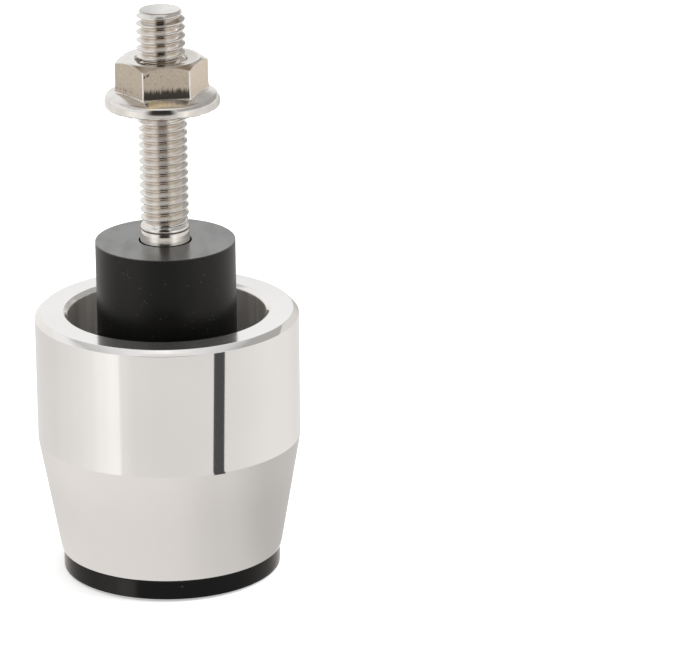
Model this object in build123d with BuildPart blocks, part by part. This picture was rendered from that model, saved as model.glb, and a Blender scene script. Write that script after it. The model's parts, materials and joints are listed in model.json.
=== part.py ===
import os
from math import pi, radians, tan

from build123d import *

# Bar end weight for a motorbike handlebar, standing on its cap with the clamp bolt up.
# Millimetres. The origin is the centre of the cap's outer face, and +Z runs along the bolt.

# Weight body, turned from bar: a cylinder towards the handlebar, a cone towards the cap
body_diameter = 32.0
body_length = 30.1
straight_length = 15.9
outboard_diameter = 27.0
crease_radius = 2.5
rim_chamfer = 0.65

# Recess for the handlebar's end
recess_diameter = 24.0
recess_depth = 14.0
recess_lip_chamfer = 0.5

# End cap, a disc with a shallow bevel, a short spigot and a plain ring cut in its outer face
cap_diameter = 26.55
cap_thickness = 2.8
cap_bevel_width = 1.2
cap_bevel_height = 0.35
spigot_diameter = 18.0
spigot_length = 1.2
ring_diameter = 16.0
ring_width = 2.0
ring_depth = 0.4

# Clamp bolt, M6 with a socket head drawn against a seat inside the body
bolt_length = 60.0
thread_diameter = 5.88
thread_length = 26.4
shank_step = 0.03
neck_step = 0.19
neck_length = 0.5
tip_chamfer = 0.5
tip_lead = 0.85
head_diameter = 10.0
head_height = 6.0
socket_across_flats = 5.0
socket_depth = 3.0

# Expander bush, cut from rubber tube
bush_diameter = 16.9
bush_length = 22.8

# Flange nut, M6
nut_across_flats = 9.8
nut_height = 6.0
nut_corner_radius = 0.4
nut_top_step = 0.25
nut_top_slope = 30.0
nut_countersink = 0.25
nut_turn = 9.0
thread_above_nut = 5.87
flange_diameter = 13.8
flange_edge = 1.35
flange_edge_radius = 0.75
flange_underside_chamfer = 0.4
flange_slope = 27.0
serration_count = 24
serration_depth = 0.2
serration_inner_diameter = 8.0

# Clearances, each on one side
bolt_hole_clearance = 0.32
bush_hole_clearance = 0.24
nut_thread_clearance = 0.05
head_clearance = 0.05
spigot_clearance = 0.05
spigot_end_gap = 0.32

# Radii that follow the thread
thread_radius = thread_diameter / 2
shank_radius = thread_radius - shank_step
neck_radius = thread_radius - neck_step
nut_bore_radius = thread_radius + nut_thread_clearance

# Heights along the axis, from the cap's outer face upwards
body_base = cap_thickness
head_base = body_base + spigot_length + spigot_end_gap
head_seat = head_base + head_height
rim_height = body_base + body_length
crease_height = rim_height - straight_length
recess_floor = rim_height - recess_depth
bolt_tip = head_seat + bolt_length
thread_start = bolt_tip - thread_length
neck_start = thread_start - neck_length
nut_top = bolt_tip - thread_above_nut
nut_base = nut_top - nut_height

# Planes that the pieces are drawn on
outboard_face = Plane((0, 0, body_base), z_dir=(0, 0, -1))
nut_underside = Plane((0, 0, nut_base), z_dir=(0, 0, -1))
nut_section = Plane((0, 0, nut_base), x_dir=(1, 0, 0), z_dir=(0, -1, 0))

os.makedirs("parts", exist_ok=True)

# Weight body
with BuildPart() as weight_body:
    with BuildSketch(Plane.XZ) as blank:
        with BuildLine():
            Polyline(
                (0, body_base),
                (outboard_diameter / 2, body_base),
                (body_diameter / 2, crease_height),
                (body_diameter / 2, rim_height),
                (0, rim_height),
                close=True,
            )
        make_face()
        crease = blank.vertices().group_by(Axis.X)[-1].sort_by(Axis.Y)[0]
        fillet(crease, radius=crease_radius)
    revolve(axis=Axis.Z)
    chamfer(weight_body.faces().sort_by(Axis.Z)[-1].edges(), length=rim_chamfer)

    # Recess with a lead-in at its mouth
    with Locations((0, 0, rim_height)):
        Hole(radius=recess_diameter / 2, depth=recess_depth)
    rim = weight_body.faces().sort_by(Axis.Z)[-1]
    chamfer(rim.edges().sort_by(SortBy.RADIUS)[0], length=recess_lip_chamfer)

    # Pocket for the cap's spigot, counterbore for the bolt's head and the bolt's own hole
    with Locations(outboard_face):
        Hole(radius=spigot_diameter / 2 + spigot_clearance, depth=head_base - body_base)
        CounterBoreHole(
            radius=thread_radius + bolt_hole_clearance,
            counter_bore_radius=head_diameter / 2 + head_clearance,
            counter_bore_depth=head_seat - body_base,
        )

# End cap
with BuildPart() as end_cap:
    with BuildSketch(Plane.XZ):
        with BuildLine():
            Polyline(
                (0, 0),
                (cap_diameter / 2 - cap_bevel_width, 0),
                (cap_diameter / 2, cap_bevel_height),
                (cap_diameter / 2, cap_thickness),
                (spigot_diameter / 2, cap_thickness),
                (spigot_diameter / 2, cap_thickness + spigot_length),
                (0, cap_thickness + spigot_length),
                close=True,
            )
        make_face()
    revolve(axis=Axis.Z)
    with BuildSketch():
        Circle((ring_diameter + ring_width) / 2)
        Circle((ring_diameter - ring_width) / 2, mode=Mode.SUBTRACT)
    extrude(amount=ring_depth, mode=Mode.SUBTRACT)

# Clamp bolt
with BuildPart() as clamp_bolt:
    with BuildSketch(Plane.XZ):
        with BuildLine():
            Polyline(
                (0, head_base),
                (head_diameter / 2, head_base),
                (head_diameter / 2, head_seat),
                (shank_radius, head_seat),
                (shank_radius, neck_start),
                (neck_radius, neck_start + shank_radius - neck_radius),
                (neck_radius, thread_start - neck_step),
                (thread_radius, thread_start),
                (thread_radius, bolt_tip - tip_lead),
                (thread_radius - tip_chamfer, bolt_tip),
                (0, bolt_tip),
                close=True,
            )
        make_face()
    revolve(axis=Axis.Z)
    with BuildSketch(Plane.XY.offset(head_base)):
        RegularPolygon(radius=socket_across_flats / 2, side_count=6, major_radius=False)
    extrude(amount=socket_depth, mode=Mode.SUBTRACT)

# Expander bush
with BuildPart() as expander_bush:
    with BuildSketch(Plane.XY.offset(recess_floor)):
        Circle(bush_diameter / 2)
        Circle(thread_radius + bush_hole_clearance, mode=Mode.SUBTRACT)
    extrude(amount=bush_length)

# Flange nut
with BuildPart() as flange_nut:
    # Hexagon with its upper corners turned to a cone
    with BuildSketch(Plane.XY.offset(nut_base)):
        hexagon = RegularPolygon(
            radius=nut_across_flats / 2, side_count=6, major_radius=False, rotation=nut_turn
        )
        fillet(hexagon.vertices(), radius=nut_corner_radius)
    extrude(amount=nut_height)
    top_radius = nut_across_flats / 2 - nut_top_step
    cone_drop = (nut_across_flats - top_radius) * tan(radians(nut_top_slope))
    with BuildSketch(nut_section):
        with BuildLine():
            Polyline(
                (0, 0),
                (nut_across_flats, 0),
                (nut_across_flats, nut_height - cone_drop),
                (top_radius, nut_height),
                (0, nut_height),
                close=True,
            )
        make_face()
    revolve(axis=Axis.Z, mode=Mode.INTERSECT)

    # Flange with a rounded edge, sloping up under the hexagon
    with BuildSketch(nut_section) as flange:
        with BuildLine():
            Polyline(
                (0, 0),
                (flange_diameter / 2, 0),
                (flange_diameter / 2, flange_edge),
                (0, flange_edge + flange_diameter / 2 * tan(radians(flange_slope))),
                close=True,
            )
        make_face()
        fillet(flange.vertices().group_by(Axis.X)[-1].sort_by(Axis.Y)[-1], radius=flange_edge_radius)
        chamfer(flange.vertices().group_by(Axis.Y)[0].sort_by(Axis.X)[-1], length=flange_underside_chamfer)
    revolve(axis=Axis.Z)

    # Radial serrations that bite into the bush
    serration_start = serration_inner_diameter / 2
    serration_width = pi * serration_inner_diameter / serration_count
    with BuildSketch(Plane.YZ.offset(serration_start)):
        with BuildLine():
            Polyline(
                (0, nut_base),
                (serration_width, nut_base),
                (0, nut_base + serration_depth),
                close=True,
            )
        make_face()
    groove = extrude(amount=flange_diameter / 2, mode=Mode.PRIVATE)
    with PolarLocations(0, serration_count):
        add(groove, mode=Mode.SUBTRACT)

    # Threaded hole, countersunk at both ends
    with Locations(Plane.XY.offset(nut_top), nut_underside):
        CounterSinkHole(
            radius=nut_bore_radius,
            counter_sink_radius=nut_bore_radius + nut_countersink,
            counter_sink_angle=90,
        )

weight_body.part.label = "weight_body"
end_cap.part.label = "end_cap"
clamp_bolt.part.label = "clamp_bolt"
expander_bush.part.label = "expander_bush"
flange_nut.part.label = "flange_nut"

export_step(weight_body.part, "parts/weight_body.step")
export_step(end_cap.part, "parts/end_cap.step")
export_step(clamp_bolt.part, "parts/clamp_bolt.step")
export_step(expander_bush.part, "parts/expander_bush.step")
export_step(flange_nut.part, "parts/flange_nut.step")
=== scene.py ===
import json
import math

import bmesh
import bpy
from mathutils import Matrix, Vector

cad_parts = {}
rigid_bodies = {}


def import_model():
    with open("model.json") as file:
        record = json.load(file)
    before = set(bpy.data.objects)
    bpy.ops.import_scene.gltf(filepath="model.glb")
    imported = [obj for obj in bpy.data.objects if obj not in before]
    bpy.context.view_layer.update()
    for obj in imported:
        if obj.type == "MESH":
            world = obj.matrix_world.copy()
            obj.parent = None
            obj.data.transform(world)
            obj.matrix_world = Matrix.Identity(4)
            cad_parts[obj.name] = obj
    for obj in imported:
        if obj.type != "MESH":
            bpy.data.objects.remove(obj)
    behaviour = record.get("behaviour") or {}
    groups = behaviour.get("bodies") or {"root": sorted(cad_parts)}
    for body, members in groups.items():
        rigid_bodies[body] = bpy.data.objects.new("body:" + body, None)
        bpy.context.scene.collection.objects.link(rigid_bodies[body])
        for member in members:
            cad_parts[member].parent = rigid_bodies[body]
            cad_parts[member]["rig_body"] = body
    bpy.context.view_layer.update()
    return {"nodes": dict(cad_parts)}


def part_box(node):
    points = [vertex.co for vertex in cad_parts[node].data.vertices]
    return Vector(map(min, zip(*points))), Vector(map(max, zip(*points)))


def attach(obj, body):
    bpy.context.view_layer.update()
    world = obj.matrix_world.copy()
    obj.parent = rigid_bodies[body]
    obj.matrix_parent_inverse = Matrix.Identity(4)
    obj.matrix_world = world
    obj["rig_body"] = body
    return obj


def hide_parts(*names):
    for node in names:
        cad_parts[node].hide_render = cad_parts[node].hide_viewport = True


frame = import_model()
scene = bpy.context.scene
mm = 0.001  # pieces are modelled in millimetres, then scaled to metres
near = 0.01  # millimetres within which two corners of a section count as one place
nearer = 0.001  # the same for the points of a finished mesh
print("frame loaded:", sorted(frame["nodes"]))


def nodeHeights(node):
    low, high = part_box(node)
    return low.z / mm, high.z / mm


# Camera, fitted to the edges of the photograph's circles

cameraSettings = {
    "frameWidth": 693,  # pixels
    "focalLength": 4668.4,  # pixels
    "sensorWidth": 36.0,
    "pitch": math.radians(18.909),  # below the horizontal
    "roll": math.radians(-0.541),
    "pivot": Vector((0, 0, 0.04505)),
    "distance": 0.56072,
    "moveRight": 0.02171,
    "moveUp": -0.01383,
}


def makeCamera():
    s = cameraSettings
    forward = Vector((0, math.cos(s["pitch"]), -math.sin(s["pitch"])))
    right = Vector((1, 0, 0))
    up = right.cross(forward)
    place = s["pivot"] - s["distance"] * forward + s["moveRight"] * right + s["moveUp"] * up
    turn = Matrix((right, up, -forward)).transposed() @ Matrix.Rotation(s["roll"], 3, "Z")
    data = bpy.data.cameras.new("camera")
    data.sensor_width = s["sensorWidth"]
    data.lens = s["sensorWidth"] * s["focalLength"] / s["frameWidth"]
    camera = bpy.data.objects.new("camera", data)
    camera.matrix_world = Matrix.Translation(place) @ turn.to_4x4()
    scene.collection.objects.link(camera)
    scene.camera = camera
    print("camera placed, lens", round(data.lens, 1))


# Shader maths: a socket with operators, one method for any node, and short names for the usual ones

class Shade:
    def __init__(self, tree, socket=None):
        self.tree = tree
        self.socket = socket

    def node(self, kind, settings=None, links=None, out=0):
        made = self.tree.nodes.new("ShaderNode" + kind)
        for name, value in (settings or {}).items():
            if name == "stops":
                self.setStops(made.color_ramp.elements, value)
            elif name == "interpolation":
                made.color_ramp.interpolation = value
            else:
                setattr(made, name, value)
        for name, value in (links or {}).items():
            if isinstance(value, Shade):
                self.tree.links.new(value.socket, made.inputs[name])
            else:
                made.inputs[name].default_value = value
        return Shade(self.tree, made.outputs[out])

    def setStops(self, elements, stops):
        while len(elements) < len(stops):
            elements.new(1.0)
        for element, (place, colour) in zip(elements, stops):
            element.position = place
            element.color = (*colour, 1)

    def math(self, operation, first, second=0.0):
        return self.node("Math", {"operation": operation}, {0: first, 1: second})

    def __add__(self, other):
        return self.math("ADD", self, other)

    def __sub__(self, other):
        return self.math("SUBTRACT", self, other)

    def __mul__(self, other):
        return self.math("MULTIPLY", self, other)

    def __rsub__(self, other):
        return self.math("SUBTRACT", other, self)

    def __abs__(self):
        return self.math("ABSOLUTE", self)

    __radd__ = __add__
    __rmul__ = __mul__

    def fade(self, low, high, start=0.0, end=1.0):  # smooth step from start to end
        return self.node("MapRange", {"interpolation_type": "SMOOTHSTEP"}, {
            "Value": self, "From Min": low, "From Max": high, "To Min": start, "To Max": end})

    def part(self, axis):
        return self.node("SeparateXYZ", None, {"Vector": self}, out=axis)

    def stretch(self, x, y, z):
        return self.node("Mapping", None, {"Vector": self, "Scale": (x, y, z)})

    def noise(self, scale, detail):
        return self.node("TexNoise", None, {"Vector": self, "Scale": scale, "Detail": detail})

    def cells(self, scale):  # distance from the nearest of many scattered points
        return self.node("TexVoronoi", {"feature": "F1"}, {"Vector": self, "Scale": scale})

    def bump(self, distance):
        return self.node("Bump", None, {"Height": self, "Distance": distance, "Strength": 1.0})

    def blend(self, first, second):  # a colour between two, by this value
        return self.node("Mix", {"data_type": "RGBA"}, {"Factor": self, 6: first, 7: second}, out=2)

    def tint(self, first, second):
        return self.blend((*first, 1), (*second, 1))

    # covers with a colour where this value is high; it lays real dust and nicks, and also painted shade,
    # painted light and a painted reflection
    def coverWith(self, under, colour):
        return self.blend(under, (*colour, 1))


def newMaterial(name, settings):
    material = bpy.data.materials.new(name)
    material.use_nodes = True
    shader = material.node_tree.nodes["Principled BSDF"]
    for socket, value in settings.items():
        shader.inputs[socket].default_value = value
    place = Shade(material.node_tree).node("TexCoord", out=3)  # Object coordinates, in metres
    return material, shader, place


def connect(shader, links):
    for name, value in links.items():
        value.tree.links.new(value.socket, shader.inputs[name])


def scaled(colour, share):
    return tuple(share * c for c in colour)


def radiusOf(place):
    flat = place.node("VectorMath", {"operation": "MULTIPLY"}, {0: place, 1: (1, 1, 0)})
    return place.node("VectorMath", {"operation": "LENGTH"}, {0: flat}, out=1)


def turnedLines(place, radius, s):  # noise that runs along any turned face
    along = place.part(2) + radius * s["lineSlant"]
    return place.node("TexNoise", {"noise_dimensions": "1D"}, {
        "W": along, "Scale": s["linesPerMetre"], "Detail": s["lineDetail"]})


def scattered(place, s):  # specks that keep to patches
    patches = place.noise(s["patchScale"], s["patchDetail"])
    return place.cells(s["scale"]).fade(*s["size"]) * patches.fade(*s["patches"])


# Polished, turned aluminium

alloySettings = {
    "colour": (0.875, 0.867, 0.862),
    "roughness": 0.055,
    "cloudScale": 90.0,
    "cloudDetail": 3.0,
    "cloudSpread": (0.3, 0.7),
    "cloudShade": 0.97,
    "cloudRoughness": 0.03,
    "rimDepths": (0.0001, 0.00005),
    "rimRoughness": 0.08,
    "rimHaze": 0.05,
    "recessMargins": (0.00012, 0.00003),
    "recessRoughness": 0.55,
    "recessHaze": 0.3,
    # in the recess: a duller finish, with darker vertical streaks painted in as streaky reflections
    "recessColour": (0.87, 0.84, 0.80),
    "recessShade": 0.84,
    "streakScale": 900.0,
    "streakDetail": 2.0,
    "streakStretch": (1, 1, 0.06),
    "streakSpread": (0.35, 0.65),
    "specks": {"scale": 1500.0, "size": (0.16, 0.1),
               "patchScale": 420.0, "patchDetail": 1.0, "patches": (0.58, 0.66)},
    "speckRoughness": 0.22,
    "linesPerMetre": 5200,
    "lineDetail": 2.0,
    "lineSlant": 0.62,
    "lineHeight": 0.0000012,
}


def polishedAlloy(recessRadius, rimHeight):
    s = alloySettings
    material, shader, place = newMaterial("polishedAlloy", {})
    radius = radiusOf(place)
    inRecess = radius.fade(*(recessRadius + margin for margin in s["recessMargins"]))
    onRim = place.part(2).fade(*(rimHeight - depth for depth in s["rimDepths"]))
    cloud = place.noise(s["cloudScale"], s["cloudDetail"])
    outside = cloud.fade(*s["cloudSpread"]).tint(s["colour"], scaled(s["colour"], s["cloudShade"]))
    # darker vertical streaks painted in the recess as streaky reflections
    reflectionStreaks = place.stretch(*s["streakStretch"]).noise(s["streakScale"], s["streakDetail"])
    streakedRecess = reflectionStreaks.fade(*s["streakSpread"]).tint(
        s["recessColour"], scaled(s["recessColour"], s["recessShade"]))
    specks = scattered(place, s["specks"])
    connect(shader, {
        "Base Color": inRecess.blend(outside, streakedRecess),
        "Metallic": 1 - onRim * s["rimHaze"] - inRecess * s["recessHaze"],
        "Roughness": ((cloud - 0.5) * s["cloudRoughness"] + specks * s["speckRoughness"]
                      + onRim * s["rimRoughness"] + inRecess * s["recessRoughness"] + s["roughness"]),
        "Normal": turnedLines(place, radius, s).bump(s["lineHeight"]),
    })
    return material


# Black anodised aluminium, bright where the ring was cut after anodising

capFinish = {
    "black": (0.004, 0.004, 0.0042),
    "bright": (0.78, 0.77, 0.75),
    "grooveMargin": 0.00004,
    "specular": 0.2,
    "roughness": 0.2,
    "lineRoughness": 0.08,
    "dust": (0.3, 0.3, 0.29),
    "dustShare": 0.12,
    "specks": {"scale": 700.0, "size": (0.12, 0.06),
               "patchScale": 300.0, "patchDetail": 2.0, "patches": (0.58, 0.64)},
    "linesPerMetre": 15000,
    "lineDetail": 3.0,
    "lineSlant": 0.62,
    "lineHeight": 0.000006,
}


def blackAnodised(grooveLow, grooveInner, grooveOuter):
    s = capFinish
    material, shader, place = newMaterial("blackAnodised", {"Specular IOR Level": s["specular"]})
    radius = radiusOf(place)
    height = place.part(2)
    edge = s["grooveMargin"]
    inGroove = (radius.fade(grooveInner - edge, grooveInner) * radius.fade(grooveOuter + edge, grooveOuter)
                * height.fade(grooveLow - edge, grooveLow)
                * height.fade(grooveLow + 3 * edge, grooveLow + 2 * edge))
    dusty = scattered(place, s["specks"]) * s["dustShare"]
    lines = turnedLines(place, radius, s)
    connect(shader, {
        "Base Color": dusty.coverWith(inGroove.tint(s["black"], s["bright"]), s["dust"]),
        "Metallic": inGroove,
        "Roughness": (lines - 0.5) * s["lineRoughness"] + s["roughness"],
        "Normal": lines.bump(s["lineHeight"]),
    })
    return material


# Bright plated steel of the bolt and the nut

platingSettings = {
    "colour": (0.80, 0.78, 0.755),
    "shade": (0.73, 0.71, 0.685),
    "roughness": 0.13,
    "detail": 3.0,
    "broadScale": 700.0,
    "broadSpread": (0.35, 0.7),
    "broadRoughness": 0.06,
    "grainScale": 7000.0,
    "grainRoughness": 0.04,
    "grainHeight": 0.000005,
}


def plating(place):
    s = platingSettings
    fine = place.noise(s["grainScale"], s["detail"])
    broad = place.noise(s["broadScale"], s["detail"])
    bright = broad.fade(*s["broadSpread"]).tint(s["colour"], s["shade"])
    roughness = (broad - 0.5) * s["broadRoughness"] + (fine - 0.5) * s["grainRoughness"] + s["roughness"]
    return fine, broad, bright, roughness


# The bolt has painted shade between the thread's crests and on the left part of its end face

boltFinish = {
    # painted shade in the thread's roots
    "shadedRoot": (0.67, 0.62, 0.565),
    "shadedRootRadii": (0.0027, 0.00245),
    "fromEnds": 0.0005,
    "belowTip": 0.0003,
    # painted shade on the left part of the end face
    "endShade": (0.55, 0.54, 0.53),
    "endShadeRise": 0.0002,
    "endShadeAcross": (0.0012, -0.0016),
    "endShadeWander": 0.0006,
    "grainShare": 0.2,
}


def platedBolt(low, tip):
    s = boltFinish
    material, shader, place = newMaterial("platedBolt", {"Metallic": 1.0})
    fine, broad, bright, roughness = plating(place)
    height = place.part(2)
    high = tip - s["belowTip"]
    threaded = height.fade(low, low + s["fromEnds"]) * height.fade(high, high - s["fromEnds"])
    # painted shade in the thread's roots, between the crests, along the threaded length
    shadedRoot = radiusOf(place).fade(*s["shadedRootRadii"]) * threaded
    # painted shade over the left part of the end face, with a wandering edge
    shadedEnd = (height.fade(high, high + s["endShadeRise"])
            * (place.part(0) + broad * s["endShadeWander"]).fade(*s["endShadeAcross"]))
    connect(shader, {
        "Base Color": shadedRoot.coverWith(shadedEnd.coverWith(bright, s["endShade"]), s["shadedRoot"]),
        "Roughness": roughness,
        "Normal": fine.bump(platingSettings["grainHeight"] * s["grainShare"]),
    })
    return material


# The nut's flats are matt and nicked. One has painted shade at its foot, one has short dashes

nutFinish = {
    "matt": (0.52, 0.45, 0.37),
    "mattDeep": (0.38, 0.32, 0.255),
    "mattSpread": (0.3, 0.7),
    "metal": 0.4,
    "roughness": 0.24,
    "apothem": (0.00484, 0.00488),
    "corner": (math.radians(29.3), math.radians(28.2)),  # from the middle of a flat
    "footMargin": 0.0001,
    "onFlat": (0.00475, 0.00485),
    "shadedFlat": math.radians(-81),  # direction that the flat with painted shade at its foot faces, from +X
    "dashFlat": math.radians(-141),
    "nick": (0.07, 0.06, 0.05),
    "nickScale": 2600.0,
    "nickSize": (0.22, 0.12),
    "nickPatches": (0.54, 0.6),
    "nickShare": 0.8,
    "combScale": 4500.0,
    "combDetail": 2.0,
    "combStretch": (1, 1, 0.1),
    # painted shade at the foot of the flat that faces -Y, fading upwards to a ragged edge
    "footShade": (0.03, 0.025, 0.021),
    "footShadeHeight": 0.0012,
    "footShadeFade": (0.7, 0.1),  # in parts of the height
    "footShadeShare": 0.95,
    "dash": {"low": (0.0003, 0.0004), "high": (0.0007, 0.0006), "comb": (0.52, 0.6), "share": 0.7},
    # The scar's ends lie along the flat with painted shade at its foot, and it rises from a height above the
    # flat's foot
    "scar": {"ends": (-0.00268, -0.0019), "fades": (0.0001, 0.0003), "slope": 0.45, "height": 0.0028,
             "width": (0.0002, 0.0001), "comb": (0.3, 0.45)},
    # painted light: a lighter, less metallic colour in the bore's mouth that lifts the shade there
    "mouth": (0.85, 0.78, 0.69),
    "mouthRadii": (0.0033, 0.0032),
    # painted shade over the right-hand part of the top face
    "topShade": (0.6, 0.565, 0.52),
    "topShadeRadii": (0.0047, 0.004),
    "topShadeAcross": (-0.0005, 0.0025),
    # A painted reflection on the flange, fading towards the right, below the flat with painted shade at its
    # foot
    "flangeReflection": {"colour": (0.82, 0.665, 0.44), "metal": 0.65, "inner": (0.0048, 0.0049),
                "outer": (0.0065, 0.0062), "left": (-0.0026, -0.0021), "right": (0.0034, -0.0016),
                "below": (0.0, -0.0001)},
    "grainPlated": 0.2,
    "grainMatt": 0.8,  # added on the flats
}


def platedNut(foot, turn):
    s = nutFinish
    material, shader, place = newMaterial("platedNut", {})
    fine, broad, bright, roughness = plating(place)
    x, y, height = (place.part(axis) for axis in range(3))
    radius = radiusOf(place)
    above = height - foot

    # Matt flats, short of the corners
    side = math.radians(60)
    around = place.math("FLOORED_MODULO", place.math("ARCTAN2", y, x) - turn, side) - side / 2
    apothem = radius * place.math("COSINE", around)
    matt = (apothem.fade(*s["apothem"]) * abs(around).fade(*s["corner"])
            * above.fade(-s["footMargin"], s["footMargin"]))
    flat = fine.fade(*s["mattSpread"]).tint(s["mattDeep"], s["matt"])

    # Marks on the flats, and painted shade at the foot of one
    outward, outwardDash = (x * math.cos(s[key]) + y * math.sin(s[key]) for key in ("shadedFlat", "dashFlat"))
    onShadedFlat, onDashFlat = (distance.fade(*s["onFlat"]) * matt for distance in (outward, outwardDash))
    along = y * math.cos(s["shadedFlat"]) - x * math.sin(s["shadedFlat"])
    nicks = place.cells(s["nickScale"]).fade(*s["nickSize"]) * broad.fade(*s["nickPatches"]) * matt
    combed = place.stretch(*s["combStretch"]).noise(s["combScale"], s["combDetail"])
    # painted shade at the foot of that flat, fading upwards
    footShadeEnds = scaled(s["footShadeFade"], s["footShadeHeight"])
    footShade = (above - combed * s["footShadeHeight"]).fade(*footShadeEnds) * onShadedFlat
    dash = s["dash"]
    dashes = above.fade(*dash["low"]) * above.fade(*dash["high"]) * combed.fade(*dash["comb"]) * onDashFlat
    scar = s["scar"]
    left, right = scar["ends"]
    leftFade, rightFade = scar["fades"]
    fromScar = abs(above - (along - left) * scar["slope"] - scar["height"])
    scarred = (fromScar.fade(*scar["width"]) * along.fade(left - leftFade, left)
               * along.fade(right, right - rightFade) * onShadedFlat * combed.fade(*scar["comb"]))

    # Painted shade on the right of the top, painted light in the bore's mouth and a painted reflection on the
    # flange, round the flats
    # painted light in the bore's mouth
    mouth = radius.fade(*s["mouthRadii"])
    # painted shade on the right part of the top face
    onTop = radius.fade(*s["topShadeRadii"]) * x.fade(*s["topShadeAcross"])
    # painted reflection on the flange slope in front of that flat, fading to the right
    flangeReflection = s["flangeReflection"]
    onFlangeReflection = (outward.fade(*flangeReflection["inner"]) * outward.fade(*flangeReflection["outer"])
                 * along.fade(*flangeReflection["left"]) * along.fade(*flangeReflection["right"])
                 * above.fade(*flangeReflection["below"]))
    shadedAndLit = mouth.coverWith(onTop.coverWith(bright, s["topShade"]), s["mouth"])
    plated = matt.blend(onFlangeReflection.coverWith(shadedAndLit, flangeReflection["colour"]), flat)

    nicked = (nicks * s["nickShare"] + dashes * dash["share"] + scarred).coverWith(plated, s["nick"])
    connect(shader, {
        # painted shade at the flat's foot, over the nicked plating
        "Base Color": (footShade * s["footShadeShare"]).coverWith(nicked, s["footShade"]),
        "Metallic": 1 - (matt + mouth) * (1 - s["metal"]) - onFlangeReflection * (1 - flangeReflection["metal"]),
        "Roughness": roughness + matt * s["roughness"],
        "Normal": (fine * (matt * s["grainMatt"] + s["grainPlated"])).bump(platingSettings["grainHeight"]),
    })
    return material


# Cut rubber of the bush, satin, with dust, and a polished top face

rubberSettings = {
    "colour": (0.003, 0.0029, 0.0028),
    "cutFace": (0.035, 0.0335, 0.033),
    "topDepths": (0.00012, 0.00002),
    "specular": 0.28,
    "coatIndex": 1.72,
    "coatRoughness": 0.18,
    "polish": (0.64, 0.86),
    "scuffScale": 480.0,
    "scuffDetail": 4.0,
    "scuffStretch": (1, 0.35, 1),
    "scuffSpread": (0.35, 0.6),
    "dust": (0.05, 0.048, 0.045),
    "specks": {"scale": 1900.0, "size": (0.2, 0.1),
               "patchScale": 500.0, "patchDetail": 2.0, "patches": (0.53, 0.6)},
    "roughness": 0.34,
    "roughnessSpread": 0.08,
    "broadScale": 160.0,
    "broadDetail": 3.0,
    "grainScale": 2600.0,
    "grainDetail": 4.0,
    "grainHeight": 0.000004,
}


def cutRubber(topHeight):
    s = rubberSettings
    material, shader, place = newMaterial("cutRubber", {
        "Specular IOR Level": s["specular"], "Coat IOR": s["coatIndex"],
        "Coat Roughness": s["coatRoughness"]})
    onTop = place.part(2).fade(*(topHeight - depth for depth in s["topDepths"]))
    fine = place.noise(s["grainScale"], s["grainDetail"])
    broad = place.noise(s["broadScale"], s["broadDetail"])
    scuffs = place.stretch(*s["scuffStretch"]).noise(s["scuffScale"], s["scuffDetail"])
    connect(shader, {
        "Base Color": scattered(place, s["specks"]).coverWith(onTop.tint(s["colour"], s["cutFace"]), s["dust"]),
        "Roughness": (fine + broad - 1.0) * s["roughnessSpread"] + s["roughness"],
        "Normal": fine.bump(s["grainHeight"]),
        "Coat Weight": onTop * scuffs.fade(*s["scuffSpread"], *s["polish"]),
    })
    return material


# Turned pieces: a section in the XZ plane, spun about Z

def sectionLoop(bm, points, roundSteps=4):
    verts = [bm.verts.new((radius, 0, height)) for radius, height, cutBack in points]
    for first, second in zip(verts, verts[1:] + verts[:1]):
        bm.edges.new((first, second))
    for vert, (radius, height, cutBack) in zip(verts, points):
        if cutBack:
            bmesh.ops.bevel(bm, geom=[vert], offset=cutBack, offset_type="OFFSET", segments=roundSteps,
                            profile=0.5, affect="VERTICES", material=-1)


def spinSection(bm, steps):
    bmesh.ops.spin(bm, geom=bm.verts[:] + bm.edges[:], cent=(0, 0, 0), axis=(0, 0, 1),
                   angle=2 * math.pi, steps=steps, use_merge=True)
    bmesh.ops.remove_doubles(bm, verts=bm.verts[:], dist=0.0005)
    bmesh.ops.recalc_face_normals(bm, faces=bm.faces[:])


def finishPiece(bm, name, node, material):
    bmesh.ops.scale(bm, vec=(mm, mm, mm), verts=bm.verts[:])
    mesh = bpy.data.meshes.new(name)
    bm.to_mesh(mesh)
    bm.free()
    mesh.materials.append(material)
    mesh.shade_smooth()
    piece = bpy.data.objects.new(name, mesh)
    scene.collection.objects.link(piece)
    flatten = piece.modifiers.new("flatFaces", "WEIGHTED_NORMAL")
    flatten.mode = "FACE_AREA"
    flatten.weight = 90
    body = frame["nodes"][node]["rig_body"]
    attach(piece, body)
    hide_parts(node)
    print(name, "made,", len(mesh.polygons), "faces, on", body)
    return piece


def turnedPiece(section, steps, name, node, material):
    bm = bmesh.new()
    sectionLoop(bm, section)
    spinSection(bm, steps)
    return finishPiece(bm, name, node, material)


# Weight body

bodySettings = {
    "outboardRadius": 13.5,
    "radius": 16.0,
    "straightLength": 15.9,
    "creaseCutBack": 0.218,  # tangent length of the 2.5 mm round
    "rimChamfer": 0.65,
    "recessRadius": 12.0,
    "recessDepth": 14.0,
    "lipChamfer": 0.5,
    "boltHoleRadius": 3.26,
    "headRadius": 5.05,
    "headHeight": 7.52,
    "spigotRadius": 9.05,
    "spigotDepth": 1.52,
    "edge": 0.05,
    "chamferEdge": 0.02,
    "outboardEdge": 0.05,
    "steps": 288,
}


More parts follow.
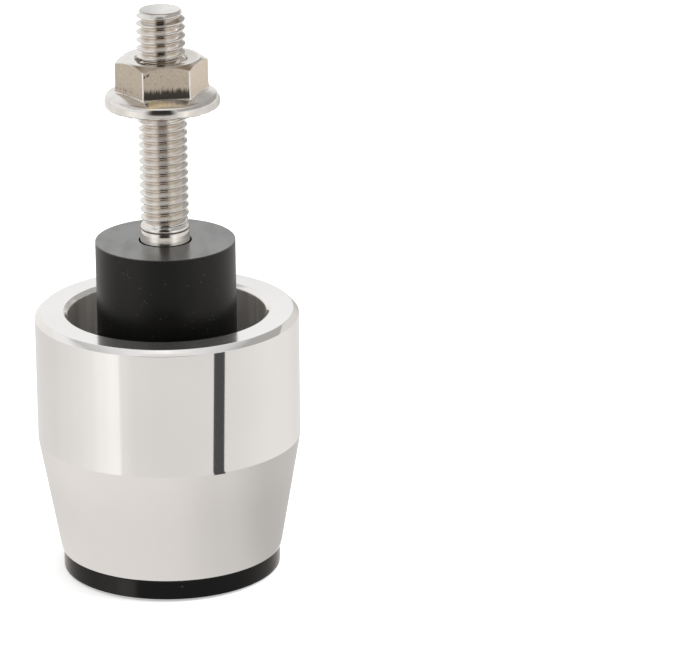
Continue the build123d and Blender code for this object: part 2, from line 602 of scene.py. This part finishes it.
def makeWeightBody(material):
    s = bodySettings
    base, rim = nodeHeights("weight_body")
    floor = rim - s["recessDepth"]
    edge = s["edge"]
    section = [
        (s["outboardRadius"], base, s["outboardEdge"]),
        (s["radius"], rim - s["straightLength"], s["creaseCutBack"]),
        (s["radius"], rim - s["rimChamfer"], s["chamferEdge"]),
        (s["radius"] - s["rimChamfer"], rim, edge),
        (s["recessRadius"] + s["lipChamfer"], rim, edge),
        (s["recessRadius"], rim - s["lipChamfer"], edge),
        (s["recessRadius"], floor, 0),
        (s["boltHoleRadius"], floor, edge),
        (s["boltHoleRadius"], base + s["headHeight"], edge),
        (s["headRadius"], base + s["headHeight"], 0),
        (s["headRadius"], base + s["spigotDepth"], edge),
        (s["spigotRadius"], base + s["spigotDepth"], 0),
        (s["spigotRadius"], base, edge),
    ]
    return turnedPiece(section, s["steps"], "weightBody", "weight_body", material)


# End cap

capSettings = {
    "radius": 13.275,
    "thickness": 2.8,
    "bevelWidth": 1.2,
    "bevelHeight": 0.35,
    "topEdge": 0.1,
    "spigotRadius": 9.0,
    "grooveInner": 7.0,
    "grooveOuter": 9.0,
    "grooveDepth": 0.4,
    "edge": 0.06,
    "steps": 256,
}


def makeEndCap(material):
    s = capSettings
    base, top = nodeHeights("end_cap")
    shoulder = base + s["thickness"]
    floor = base + s["grooveDepth"]
    edge = s["edge"]
    section = [
        (0, base, 0),
        (s["grooveInner"], base, edge),
        (s["grooveInner"], floor, 0),
        (s["grooveOuter"], floor, 0),
        (s["grooveOuter"], base, edge),
        (s["radius"] - s["bevelWidth"], base, edge),
        (s["radius"], base + s["bevelHeight"], edge),
        (s["radius"], shoulder, s["topEdge"]),
        (s["spigotRadius"], shoulder, 0),
        (s["spigotRadius"], top, edge),
        (0, top, 0),
    ]
    return turnedPiece(section, s["steps"], "endCap", "end_cap", material)


# Expander bush

bushSettings = {
    "radius": 8.45,
    "holeRadius": 3.18,
    "edge": 0.09,
    "steps": 224,
}


def makeExpanderBush(material):
    s = bushSettings
    base, top = nodeHeights("expander_bush")
    section = [
        (s["radius"], base, s["edge"]),
        (s["radius"], top, s["edge"]),
        (s["holeRadius"], top, s["edge"]),
        (s["holeRadius"], base, s["edge"]),
    ]
    return turnedPiece(section, s["steps"], "expanderBush", "expander_bush", material)


# Clamp bolt: a helical thread, a collar where it runs out, a plain shank and a socket head

boltSettings = {
    "pitch": 1.0,
    "crestRadius": 2.94,
    "flank": math.radians(30),  # half the angle between two flanks
    "flankRound": 0.13,  # radius of the crests and of the roots
    "roundSteps": 5,
    "crestAtZero": 0.13,  # height of a crest over +X, past a whole millimetre
    "threadLength": 26.4,
    "runOut": 0.5,
    "weld": 0.002,
    "tipChamfer": 0.5,
    "tipLead": 0.85,
    "tipRound": 0.09,
    "tipRing": [(0.0, 0.4), (0.4, 0.12), (1.0, 0.0)],  # inward and down, in parts of the round
    "tipMiddle": 0.5,  # an inner ring on the tip's face
    "tipClean": (0.12, 0.5),  # depths below the tip between which the thread starts
    "neckRadius": 2.66,
    # Radius and depth below the thread
    "collar": [(2.7, 0.07), (2.85, 0.22), (2.92, 0.42), (2.925, 0.68), (2.9, 0.75), (2.86, 0.78),
               (2.86, 0.81)],
    "swell": [(2.88, 0.84), (2.915, 1.28), (2.965, 1.7), (3.03, 2.12), (3.04, 2.3)],
    "swellEnd": 0.4,
    "shankRadius": 2.91,
    "headRadius": 5.0,
    "headHeight": 6.0,
    "headEdge": 0.06,
    "socketFlats": 5.0,
    "socketDepth": 3.0,
    "steps": 96,
}


def threadSection(bm, low, high):
    s = boltSettings
    pitch = s["pitch"]
    slope = math.tan(s["flank"])
    crestApex = s["crestRadius"] + s["flankRound"]
    rootApex = crestApex - pitch / 2 / slope
    start = math.floor(low) + s["crestAtZero"] - pitch
    turns = math.ceil((high - start) / pitch) + 2
    corners = []
    for turn in range(turns):
        corners += [(crestApex, start + turn * pitch), (rootApex, start + (turn + 0.5) * pitch)]
    verts = [bm.verts.new((radius, 0, height)) for radius, height in corners]
    for first, second in zip(verts, verts[1:]):
        bm.edges.new((first, second))
    bmesh.ops.bevel(bm, geom=verts[1:-1], offset=s["flankRound"] / slope, offset_type="OFFSET",
                    segments=s["roundSteps"], profile=0.5, affect="VERTICES", material=-1)


def smoothStep(low, high, value):
    share = min(1.0, max(0.0, (value - low) / (high - low)))
    return share * share * (3 - 2 * share)


def openRing(bm, height):
    return [e for e in bm.edges if e.is_boundary and all(abs(v.co.z - height) < near for v in e.verts)]


def setRadius(vert, radius, height):
    flat = vert.co.xy.normalized() * radius
    vert.co = (flat.x, flat.y, height)


def extrudeRing(bm, edges, stations):
    for radius, height in stations:
        made = bmesh.ops.extrude_edge_only(bm, edges=edges)["geom"]
        edges = [g for g in made if isinstance(g, bmesh.types.BMEdge)]
        for vert in {v for e in edges for v in e.verts}:
            setRadius(vert, radius, height)
    return edges


def makeClampBolt(material):
    s = boltSettings
    base, tip = nodeHeights("clamp_bolt")
    threadStart = tip - s["threadLength"]
    seat = base + s["headHeight"]
    bm = bmesh.new()
    threadSection(bm, threadStart, tip)
    bmesh.ops.spin(bm, geom=bm.verts[:] + bm.edges[:], cent=(0, 0, 0), axis=(0, 0, 1),
                   dvec=(0, 0, s["pitch"] / s["steps"]), angle=2 * math.pi, steps=s["steps"])
    bmesh.ops.remove_doubles(bm, verts=bm.verts[:], dist=s["weld"])
    coneTop = tip - s["tipRound"]
    for height, keepBelow in ((coneTop, True), (threadStart, False)):
        bmesh.ops.bisect_plane(bm, geom=bm.verts[:] + bm.edges[:] + bm.faces[:], dist=0.0005,
                               plane_co=(0, 0, height), plane_no=(0, 0, 1),
                               clear_outer=keepBelow, clear_inner=not keepBelow)
    faceRadius = s["crestRadius"] - s["tipChamfer"]
    for vert in bm.verts:
        height = vert.co.z
        whole = smoothStep(threadStart, threadStart + s["runOut"], height)
        radius = s["neckRadius"] + (vert.co.xy.length - s["neckRadius"]) * whole
        lead = faceRadius + (tip - height) * s["tipChamfer"] / s["tipLead"]
        depth = max(0.0, lead - radius) * smoothStep(*s["tipClean"], tip - height)
        setRadius(vert, min(lead - depth, s["crestRadius"]), height)

    # Faced end with a rounded edge
    soft = s["tipRound"]
    rounded = [(faceRadius - inward * soft, tip - down * soft) for inward, down in s["tipRing"]]
    end = extrudeRing(bm, openRing(bm, coneTop), rounded + [(faceRadius * s["tipMiddle"], tip)])
    bmesh.ops.edgeloop_fill(bm, edges=end)

    # Collar under the thread, a shank that swells a little before it enters the bush, and the head
    below = [(radius, threadStart - depth) for radius, depth in s["collar"] + s["swell"]]
    ring = extrudeRing(bm, openRing(bm, threadStart), below + [
        (s["shankRadius"], below[-1][1] - s["swellEnd"]),
        (s["shankRadius"], seat),
        (s["headRadius"], seat),
        (s["headRadius"], base + s["headEdge"]),
        (s["headRadius"] - s["headEdge"], base),
    ])

    # Hexagon socket in the head
    socket = bmesh.ops.create_circle(bm, cap_ends=False, radius=s["socketFlats"] / math.sqrt(3),
                                     segments=6)["verts"]
    bmesh.ops.translate(bm, vec=(0, 0, base), verts=socket)
    mouth = [e for e in bm.edges if e.verts[0] in socket and e.verts[1] in socket]
    bmesh.ops.bridge_loops(bm, edges=ring + mouth)
    walls = bmesh.ops.extrude_edge_only(bm, edges=mouth)["geom"]
    bmesh.ops.translate(bm, vec=(0, 0, s["socketDepth"]),
                        verts=[g for g in walls if isinstance(g, bmesh.types.BMVert)])
    bmesh.ops.edgeloop_fill(bm, edges=[g for g in walls if isinstance(g, bmesh.types.BMEdge)])
    bmesh.ops.recalc_face_normals(bm, faces=bm.faces[:])
    return finishPiece(bm, "clampBolt", "clamp_bolt", material)


# Flange nut: a hexagon with turned corners that flares into a sloping flange, serrated below

nutSettings = {
    "sides": 6,
    "flatsRadius": 4.9,
    "cornerRadius": 0.4,
    "turn": math.radians(9),  # direction of one corner from +X
    "topRadius": 4.65,
    "topSlope": math.radians(30),
    "topSoftness": 0.07,
    "flare": 0.08,
    "flareHeight": 1.0,
    "mattFrom": 2.12,
    "flangeRadius": 6.9,
    "flangeEdge": 1.42,
    "flangeEdgeCut": 0.515,  # cut back from the corner on either side, for the edge's round
    "flangeSlope": math.radians(21),
    "flangeSoftness": 0.12,
    "undersideRound": 0.4,
    "dishRadius": 4.15,
    "dishDepth": 0.1,
    "boreRadius": 2.99,
    "countersink": 0.25,
    "mouthEdge": 0.05,
    "teeth": 24,
    "toothDepth": 0.2,
    "toothInner": 4.0,
    "crowding": 0.6,  # how far the columns gather at the corners
    "cuts": {"slope": 30, "wall": 60, "cone": 24, "underside": 5},
    "roundSteps": 6,
    "steps": 288,
}


def softMin(first, second, width):
    share = min(1.0, max(0.0, 0.5 + 0.5 * (second - first) / width))
    return second + (first - second) * share - width * share * (1 - share)


def softMax(first, second, width):
    return -softMin(-first, -second, width)


def hexagonRadius(angle, flats):
    s = nutSettings
    corner = math.pi / s["sides"]
    inner = flats - s["cornerRadius"]
    fromFlat = (angle - s["turn"]) % (2 * corner) - corner
    tangent = math.atan(inner * math.tan(corner) / flats)
    if abs(fromFlat) < tangent:
        return flats / math.cos(fromFlat)
    centre = inner / math.cos(corner)
    fromCorner = corner - abs(fromFlat)
    across = centre * math.sin(fromCorner)
    return centre * math.cos(fromCorner) + math.sqrt(s["cornerRadius"] ** 2 - across ** 2)


def nutRadius(angle, height, top):
    s = nutSettings
    flange = s["flangeRadius"] - (height - s["flangeEdge"]) / math.tan(s["flangeSlope"])
    foot = s["flangeEdge"] + (s["flangeRadius"] - s["flatsRadius"]) * math.tan(s["flangeSlope"])
    low = min(1.0, max(0.0, 1 - (height - foot) / s["flareHeight"]))
    hexagon = hexagonRadius(angle, s["flatsRadius"] + s["flare"] * low * low)
    cone = s["topRadius"] + (top - height) / math.tan(s["topSlope"])
    return softMax(flange, softMin(hexagon, cone, s["topSoftness"]), s["flangeSoftness"])


def makeFlangeNut(material):
    s = nutSettings
    base, peak = nodeHeights("flange_nut")
    top = peak - base
    wallRadius = s["flatsRadius"] + s["cornerRadius"]
    slopeTop = s["flangeEdge"] + (s["flangeRadius"] - wallRadius) * math.tan(s["flangeSlope"])
    coneFoot = top - (wallRadius - s["topRadius"] + s["cornerRadius"]) * math.tan(s["topSlope"])
    edgeTop = s["flangeEdge"] + s["flangeEdgeCut"] * math.sin(s["flangeSlope"])
    section = [
        (s["boreRadius"], s["countersink"], 0),
        (s["boreRadius"] + s["countersink"], 0, 0),
        (s["toothInner"], 0, 0),
        (s["flangeRadius"], 0, s["undersideRound"]),
        (s["flangeRadius"], s["flangeEdge"], s["flangeEdgeCut"]),
        (wallRadius, slopeTop, 0),
        (wallRadius, coneFoot, 0),
        (s["topRadius"], top, 0),
        (s["dishRadius"], top, 0),
        (s["boreRadius"] + s["countersink"], top - s["dishDepth"], s["mouthEdge"]),
        (s["boreRadius"], top - s["dishDepth"] - s["countersink"], 0),
    ]
    bm = bmesh.new()
    sectionLoop(bm, section, s["roundSteps"])
    for edge in bm.edges[:]:
        radii = sorted(v.co.x for v in edge.verts)
        heights = sorted(v.co.z for v in edge.verts)
        if heights[0] >= edgeTop - near and radii[0] > s["topRadius"] - near:
            onWall = radii[1] < wallRadius + near
            kind = "cone" if heights[1] > top - near else "wall" if onWall else "slope"
        elif heights[1] < near and radii[0] > s["toothInner"] - near:
            kind = "underside"
        else:
            continue
        bmesh.ops.subdivide_edges(bm, edges=[edge], cuts=s["cuts"][kind])
    spinSection(bm, s["steps"])
    tooth = 2 * math.pi / s["teeth"]
    for vert in bm.verts:
        radius = vert.co.xy.length
        height = vert.co.z
        angle = math.atan2(vert.co.y, vert.co.x)
        if height > edgeTop - nearer and radius > s["topRadius"] - nearer:
            gather = min(1.0, (height - edgeTop) / s["flangeEdge"]) * s["crowding"]
            angle -= gather * math.sin(s["sides"] * (angle - s["turn"])) / s["sides"]
            radius = nutRadius(angle, height, top)
        elif height < s["undersideRound"] and radius > s["toothInner"]:
            rise = 1 - (angle % tooth) / tooth
            inward = min(1.0, (radius - s["toothInner"]) / s["toothDepth"])
            height = max(height, s["toothDepth"] * rise * inward)
        vert.co = (radius * math.cos(angle), radius * math.sin(angle), height + base)
    bmesh.ops.recalc_face_normals(bm, faces=bm.faces[:])
    return finishPiece(bm, "flangeNut", "flange_nut", material)


# Studio: a pale floor under a white sky, a cove of light that only reflections see, and dark flags

studioSettings = {
    "floorSize": 3.0,
    "floorColour": (0.95, 0.95, 0.95, 1),
    "floorRoughness": 0.9,
    "floorGlow": 0.45,  # the floor is lit from below as well
    # Light from straight down to straight up
    "skyLevels": [(0.0, 0.8), (0.5, 0.86), (0.62, 0.98), (0.79, 0.95), (0.9, 0.6), (1.0, 0.58)],
    "skyColour": (1.0, 0.995, 0.99),
    "overheadFrom": (0.6, 0.69),  # as parts of a direction
    "overheadLevels": [
        (-1.0, 0.75), (-0.72, 0.72), (-0.69, 0.6), (-0.6, 0.66), (-0.5, 0.77), (-0.32, 0.88), (-0.12, 1.0),
        (0.0, 1.08), (0.1, 0.95), (0.32, 0.82), (0.5, 0.73), (0.64, 0.57), (0.69, 0.42), (1.0, 0.5)],
    "dimSide": {"across": (0.1, 0.27), "low": (0.1, 0.28), "high": (0.8, 0.72),
                "colour": (0.45, 0.44, 0.425)},
    "coveRadius": 0.062,
    "coveInner": 0.0138,
    "coveInnerTop": 0.00235,
    "coveHeight": 0.033,
    "coveStep": (0.019, 0.027),
    "coveBend": (0.044, 0.05),  # way out along the floor at which the wall's light begins
    "coveLift": 0.0001,  # above the floor
    "coveSteps": 128,
    "strips": [(-150, -30, 0.06), (30, 158, 0.06), (158, 210, 0.048)],  # from, to, height
    "stripSteps": 48,
    # Degrees from the camera's side, and how bright the cove is there
    "innerLevels": [
        (-180, 0.7), (-90, 0.95), (-60, 0.62), (-47, 0.7), (-33, 1.15), (-25, 1.75), (-20.5, 1.6),
        (-16, 0.48), (0, 0.42), (40, 0.42), (60, 0.6), (90, 0.95), (180, 0.7)],
    "floorLevels": [
        (-180, 0.66), (-60, 0.78), (0, 0.75), (40, 0.65), (85, 0.52), (130, 0.54), (180, 0.66)],
    "wallLevels": [
        (-180, 0.78), (-105, 0.75), (-88, 0.79), (-75, 0.825), (-62, 0.877), (-51, 0.968), (-41, 1.03),
        (-36.5, 1.02), (-34.3, 0.83), (-22, 0.766), (0, 0.747), (20, 0.755), (40, 0.77), (93, 0.85),
        (111, 0.85), (139, 0.785), (180, 0.78)],
    "upperLevels": [
        (-180, 0.8), (-161, 0.95), (-105, 0.9), (-82, 0.83), (-54, 1.12), (-40, 1.0), (-18, 0.36), (0, 0.3),
        (18, 0.36), (40, 1.0), (46, 1.12), (58, 0.95), (70, 0.85), (138, 0.74), (161, 0.46), (180, 0.8)],
    "innerEdge": (0.0141, 0.0145),  # radii inside which only the cap's side looks
    "floorRise": (0.026, 0.037),  # radii between which the cove's floor becomes brighter
    "floorGain": 1.06,
    "innerTint": (1.07, 1.0, 0.95),
    "floorTint": (1.04, 1.0, 0.965),
    "wallTint": (1.03, 1.0, 0.972),
    "upperTint": (1.03, 1.0, 0.96),
    # The foot of the stripe stands further left by the lean, in degrees
    "stripe": {"from": 38.0, "to": 47.0, "lean": 3.0, "foot": 0.04, "top": 0.02, "inset": 0.001,
               "level": 0.075, "steps": 8},
    # Dark within the first half width, pale at the second
    "flag": {"dark": (0.03, 0.027, 0.025), "pale": (0.72, 0.69, 0.65), "topPale": (0.84, 0.82, 0.79),
             "distance": 0.075, "halfWidths": (0.022, 0.047), "bottom": 0.002, "darkFrom": (0.0375, 0.043),
             "darkTo": (0.138, 0.158), "top": 0.2},
    # Edges to the left and to the right, and the way back at which the colour turns
    "canopy": {"frontColour": (0.4, 0.34, 0.28), "backColour": (0.25, 0.195, 0.145),
               "edges": [(0.88, 0.87, 0.855), (0.5, 0.48, 0.455)], "height": 0.088, "side": 0.0225,
               "front": -0.01, "back": 0.022, "turn": (0.003, 0.008), "soft": 0.009},
}


def stagePiece(bm, name, material, onlyGlossy=True):
    mesh = bpy.data.meshes.new(name)
    bm.to_mesh(mesh)
    bm.free()
    mesh.materials.append(material)
    piece = bpy.data.objects.new(name, mesh)
    scene.collection.objects.link(piece)
    if onlyGlossy:
        for rays in ("camera", "diffuse", "shadow", "transmission", "volume_scatter"):
            setattr(piece, "visible_" + rays, False)


def glow(name):
    material = bpy.data.materials.new(name)
    material.use_nodes = True
    nodes = material.node_tree.nodes
    nodes.remove(nodes["Principled BSDF"])
    start = Shade(material.node_tree)
    emission = start.node("Emission", None, {"Strength": 1.0})
    material.node_tree.links.new(emission.socket, nodes["Material Output"].inputs["Surface"])
    return material, emission.socket.node, start.node("TexCoord", out=3)


def spunCove(points, startDegrees, endDegrees, steps):
    bm = bmesh.new()
    verts = []
    for radius, height, lean in points:
        angle = math.radians(startDegrees + lean)
        verts.append(bm.verts.new((radius * math.sin(angle), -radius * math.cos(angle), height)))
    edges = [bm.edges.new(pair) for pair in zip(verts, verts[1:])]
    bmesh.ops.spin(bm, geom=verts + edges, cent=(0, 0, 0), axis=(0, 0, 1),
                   angle=math.radians(endDegrees - startDegrees), steps=steps)
    return bm


def card(corners):
    bm = bmesh.new()
    bm.faces.new([bm.verts.new(corner) for corner in corners])
    return bm


def makeFloor():
    s = studioSettings
    material = newMaterial("paleFloor", {
        "Base Color": s["floorColour"], "Roughness": s["floorRoughness"], "Specular IOR Level": 0.0,
        "Emission Color": s["floorColour"], "Emission Strength": s["floorGlow"]})[0]
    bm = bmesh.new()
    bmesh.ops.create_grid(bm, x_segments=1, y_segments=1, size=s["floorSize"] / 2)
    stagePiece(bm, "floor", material, onlyGlossy=False)


def coveMaterial():
    s = studioSettings
    material, emission, place = glow("coveOfLight")
    share = place.math("ARCTAN2", place.part(0), place.part(1) * -1.0) * (0.5 / math.pi) + 0.5

    def levels(key, tint):
        stops = [((degrees + 180) / 360, scaled(tint, level)) for degrees, level in s[key]]
        return place.node("ValToRGB", {"stops": stops, "interpolation": "EASE"}, {"Fac": share})

    radius = radiusOf(place)
    raised = (radius + place.part(2)).fade(*s["coveBend"])
    upper = place.part(2).fade(*s["coveStep"])
    outer = radius.fade(*s["floorRise"]).blend(
        levels("floorLevels", s["floorTint"]), levels("floorLevels", scaled(s["floorTint"], s["floorGain"])))
    floor = radius.fade(*s["innerEdge"]).blend(levels("innerLevels", s["innerTint"]), outer)
    low = raised.blend(floor, levels("wallLevels", s["wallTint"]))
    connect(emission, {"Color": upper.blend(low, levels("upperLevels", s["upperTint"]))})
    return material


def makeCove():
    s = studioSettings
    radius, height, lift = s["coveRadius"], s["coveHeight"], s["coveLift"]
    light = coveMaterial()
    section = [(s["coveInner"], s["coveInnerTop"], 0), (s["coveInner"], lift, 0), (radius, lift, 0),
               (radius, height, 0)]
    stagePiece(spunCove(section, -180, 180, s["coveSteps"]), "lightCove", light)
    for number, (first, last, top) in enumerate(s["strips"]):
        section = [(radius, height, 0), (radius, top, 0)]
        stagePiece(spunCove(section, first, last, s["stripSteps"]), "lightStrip%d" % number, light)


def makeStripe():
    s = studioSettings["stripe"]
    low = 2 * studioSettings["coveLift"]
    back = studioSettings["coveRadius"] - s["inset"]
    section = [(s["foot"], low, -s["lean"]), (back, low, -s["lean"]), (back, s["top"], 0)]
    material, emission = glow("stripeGrey")[:2]
    emission.inputs["Color"].default_value = (s["level"], s["level"], s["level"], 1)
    stagePiece(spunCove(section, s["from"], s["to"], s["steps"]), "stripeFlag", material)


def makeFlag():
    s = studioSettings["flag"]
    material, emission, place = glow("flagBlack")
    height = place.part(2)
    shade = abs(place.part(0)).fade(*s["halfWidths"]).tint(s["dark"], s["pale"])
    raised = height.fade(*s["darkFrom"]).blend((*s["pale"], 1), shade)
    connect(emission, {"Color": height.fade(*s["darkTo"]).coverWith(raised, s["topPale"])})
    half, away, low, high = s["halfWidths"][1], -s["distance"], s["bottom"], s["top"]
    corners = [(-half, away, low), (half, away, low), (half, away, high), (-half, away, high)]
    stagePiece(card(corners), "cameraFlag", material)


def makeCanopy():
    s = studioSettings["canopy"]
    side, front, back, high = s["side"], s["front"], s["back"], s["height"]
    material, emission, place = glow("canopyTan")
    x, y = place.part(0), place.part(1)
    inside = abs(x).fade(side, side - s["soft"]) * y.fade(back, back - s["soft"])
    middle = y.fade(*s["turn"]).tint(s["frontColour"], s["backColour"])
    rim = x.fade(-0.5 * side, 0.5 * side).tint(*s["edges"])
    connect(emission, {"Color": inside.blend(rim, middle)})
    corners = [(-side, front, high), (side, front, high), (side, back, high), (-side, back, high)]
    stagePiece(card(corners), "canopyCard", material)


def makeSky():
    s = studioSettings
    world = bpy.data.worlds.new("studio")
    world.use_nodes = True
    direction = Shade(world.node_tree).node("TexCoord", out=0)
    across = direction.part(0)
    height = direction.part(2)

    def levels(stops, along):
        tinted = [(place, scaled(s["skyColour"], level)) for place, level in stops]
        return along.node("ValToRGB", {"stops": tinted, "interpolation": "EASE"}, {"Fac": along * 0.5 + 0.5})

    sky = levels(s["skyLevels"], height)
    overhead = levels([(place * 0.5 + 0.5, level) for place, level in s["overheadLevels"]], across)
    above = height.fade(*s["overheadFrom"]).blend(sky, overhead)
    dim = s["dimSide"]
    inDim = across.fade(*dim["across"]) * height.fade(*dim["low"]) * height.fade(*dim["high"])
    connect(world.node_tree.nodes["Background"], {"Color": inDim.coverWith(above, dim["colour"])})
    scene.world = world


def makeStudio():
    makeFloor()
    makeCove()
    makeStripe()
    makeFlag()
    makeCanopy()
    makeSky()
    print("studio set")


lampSettings = {
    "right": {"place": (0.5, 0.0, 0.35), "aim": (0, 0, 0.05), "size": 0.5, "power": 3.2},
}


def makeLamps():
    for name, s in lampSettings.items():
        data = bpy.data.lights.new(name, "AREA")
        data.energy = s["power"]
        data.size = s["size"]
        lamp = bpy.data.objects.new(name, data)
        lamp.location = s["place"]
        lamp.rotation_euler = (Vector(s["aim"]) - Vector(s["place"])).to_track_quat("-Z", "Y").to_euler()
        lamp.visible_camera = False
        lamp.visible_glossy = False
        scene.collection.objects.link(lamp)
    print("lamps set")


def main():
    makeCamera()
    makeWeightBody(polishedAlloy(bodySettings["recessRadius"] * mm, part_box("weight_body")[1].z))
    groove = [capSettings[k] * mm for k in ("grooveDepth", "grooveInner", "grooveOuter")]
    makeEndCap(blackAnodised(*groove))
    makeExpanderBush(cutRubber(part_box("expander_bush")[1].z))
    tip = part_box("clamp_bolt")[1].z
    makeClampBolt(platedBolt(tip - boltSettings["threadLength"] * mm, tip))
    makeFlangeNut(platedNut(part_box("flange_nut")[0].z + nutSettings["mattFrom"] * mm, nutSettings["turn"]))
    makeStudio()
    makeLamps()
    scene.view_settings.view_transform = "Standard"


main()
